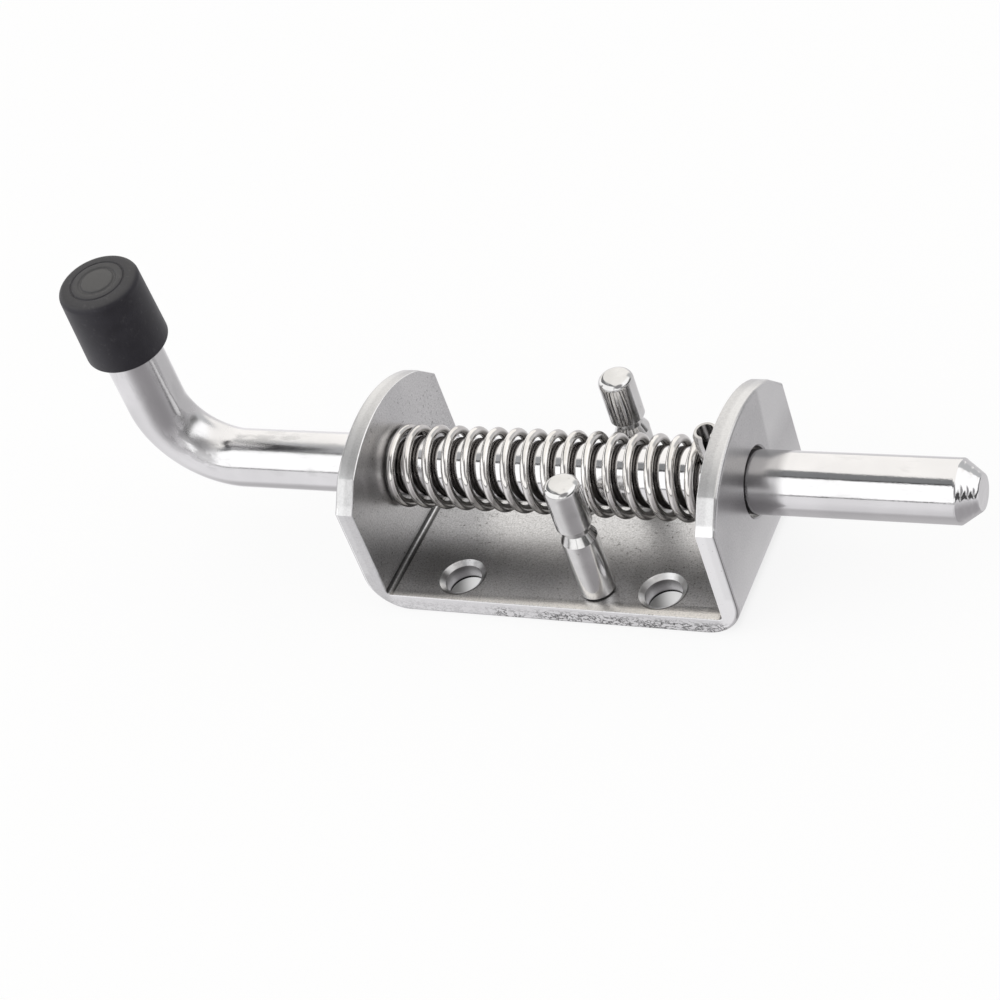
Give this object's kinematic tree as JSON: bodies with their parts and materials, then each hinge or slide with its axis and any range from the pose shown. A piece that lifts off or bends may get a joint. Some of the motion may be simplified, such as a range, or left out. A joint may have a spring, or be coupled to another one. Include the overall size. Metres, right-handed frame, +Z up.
{
  "type": "spring barrel bolt",
  "caption": "Round spring bolt in a folded steel bracket with a bent, rubber-capped handle; turned a quarter turn it catches on grooved posts and stays open.",
  "frame": {"origin": "centre of the base plate's underside, the face that is screwed down", "axes": "+X along the bolt bar towards its nose, +Y to the back, +Z up from the mounting face"},
  "size_m": [0.1758, 0.0414, 0.0688],
  "materials": {
    "bracket_steel": "satin stainless sheet, finely pitted, with sheared edges",
    "bar_steel": "bright drawn bar",
    "spring_steel": "bright polished wire",
    "post_steel": "turned and polished",
    "pin_steel": "rolled spring steel",
    "cap_rubber": "matt moulded rubber"
  },
  "bodies": {
    "bracket": {"bracket": "bracket_steel", "front_post": "post_steel", "rear_post": "post_steel"},
    "return_spring": {"spring": "spring_steel"},
    "bolt": {"bolt_bar": "bar_steel", "roll_pin": "pin_steel", "handle_cap": "cap_rubber"}
  },
  "joints": [
    {"name": "bolt_slide", "type": "slide", "parent": "bracket", "child": "return_spring", "axis": [1, 0, 0], "range_m": [-0.034, 0], "stiffness_N_per_m": 1500, "springref_m": 0.015, "deforming": ["spring"]},
    {"name": "bolt_turn", "type": "hinge", "parent": "return_spring", "child": "bolt", "pos_m": [0, 0, 0.0195], "axis": [1, 0, 0], "range_deg": [-93.8, 86.2]}
  ]
}
